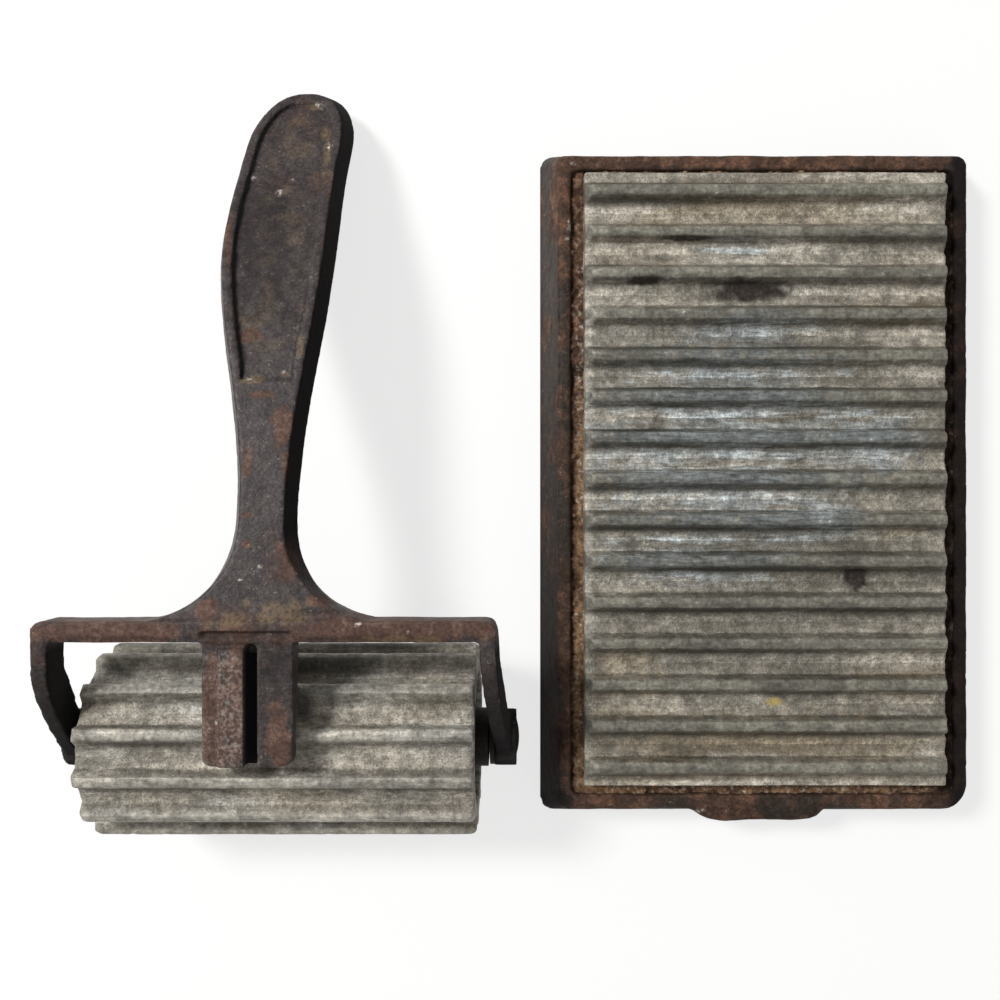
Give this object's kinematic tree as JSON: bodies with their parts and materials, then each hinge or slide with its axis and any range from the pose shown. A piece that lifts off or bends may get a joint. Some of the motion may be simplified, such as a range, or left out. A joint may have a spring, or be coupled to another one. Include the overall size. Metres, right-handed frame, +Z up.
{
  "type": "fluting iron",
  "caption": "Hand fluting iron in two loose pieces: a flat iron base holding a fluted white-metal plate, and beside it a forked handle carrying a fluted roller that meshes with the plate.",
  "frame": {"origin": "middle of the base's flat underside", "axes": "+Z up from the table, +X along the flutes and the roller's axle, +Y across the flutes, away from the base's lifting tab. The hand piece lies on its back on the -X side, on the same table"},
  "size_m": [0.2018, 0.1672, 0.046],
  "materials": {
    "tray_iron": "rust-brown, worn and heat-stained",
    "handle_iron": "old black paint, rubbed and rusting",
    "core_iron": "dark rust",
    "white_metal": "dull grey, stained and pitted",
    "steel": "dark, oily"
  },
  "bodies": {
    "base": {"base_tray": "tray_iron", "fluted_plate": "white_metal", "plate_screw_far_left": "steel", "plate_screw_far_right": "steel", "plate_screw_near_left": "steel", "plate_screw_near_right": "steel"},
    "hand_piece": {"handle_frame": "handle_iron", "axle_pin": "steel", "axle_washer_left": "steel", "axle_washer_right": "steel"},
    "roller": {"roller_sleeve": "white_metal", "roller_core": "core_iron"}
  },
  "joints": [
    {"name": "hand_lift", "type": "slide", "parent": "base", "child": "hand_piece", "axis": [0, 0, 1], "range_m": [0, 0.08]},
    {"name": "roller_spin", "type": "hinge", "parent": "hand_piece", "child": "roller", "pos_m": [-0.1033, -0.0553, 0.02017], "axis": [1, 0, 0], "continuous": true}
  ]
}
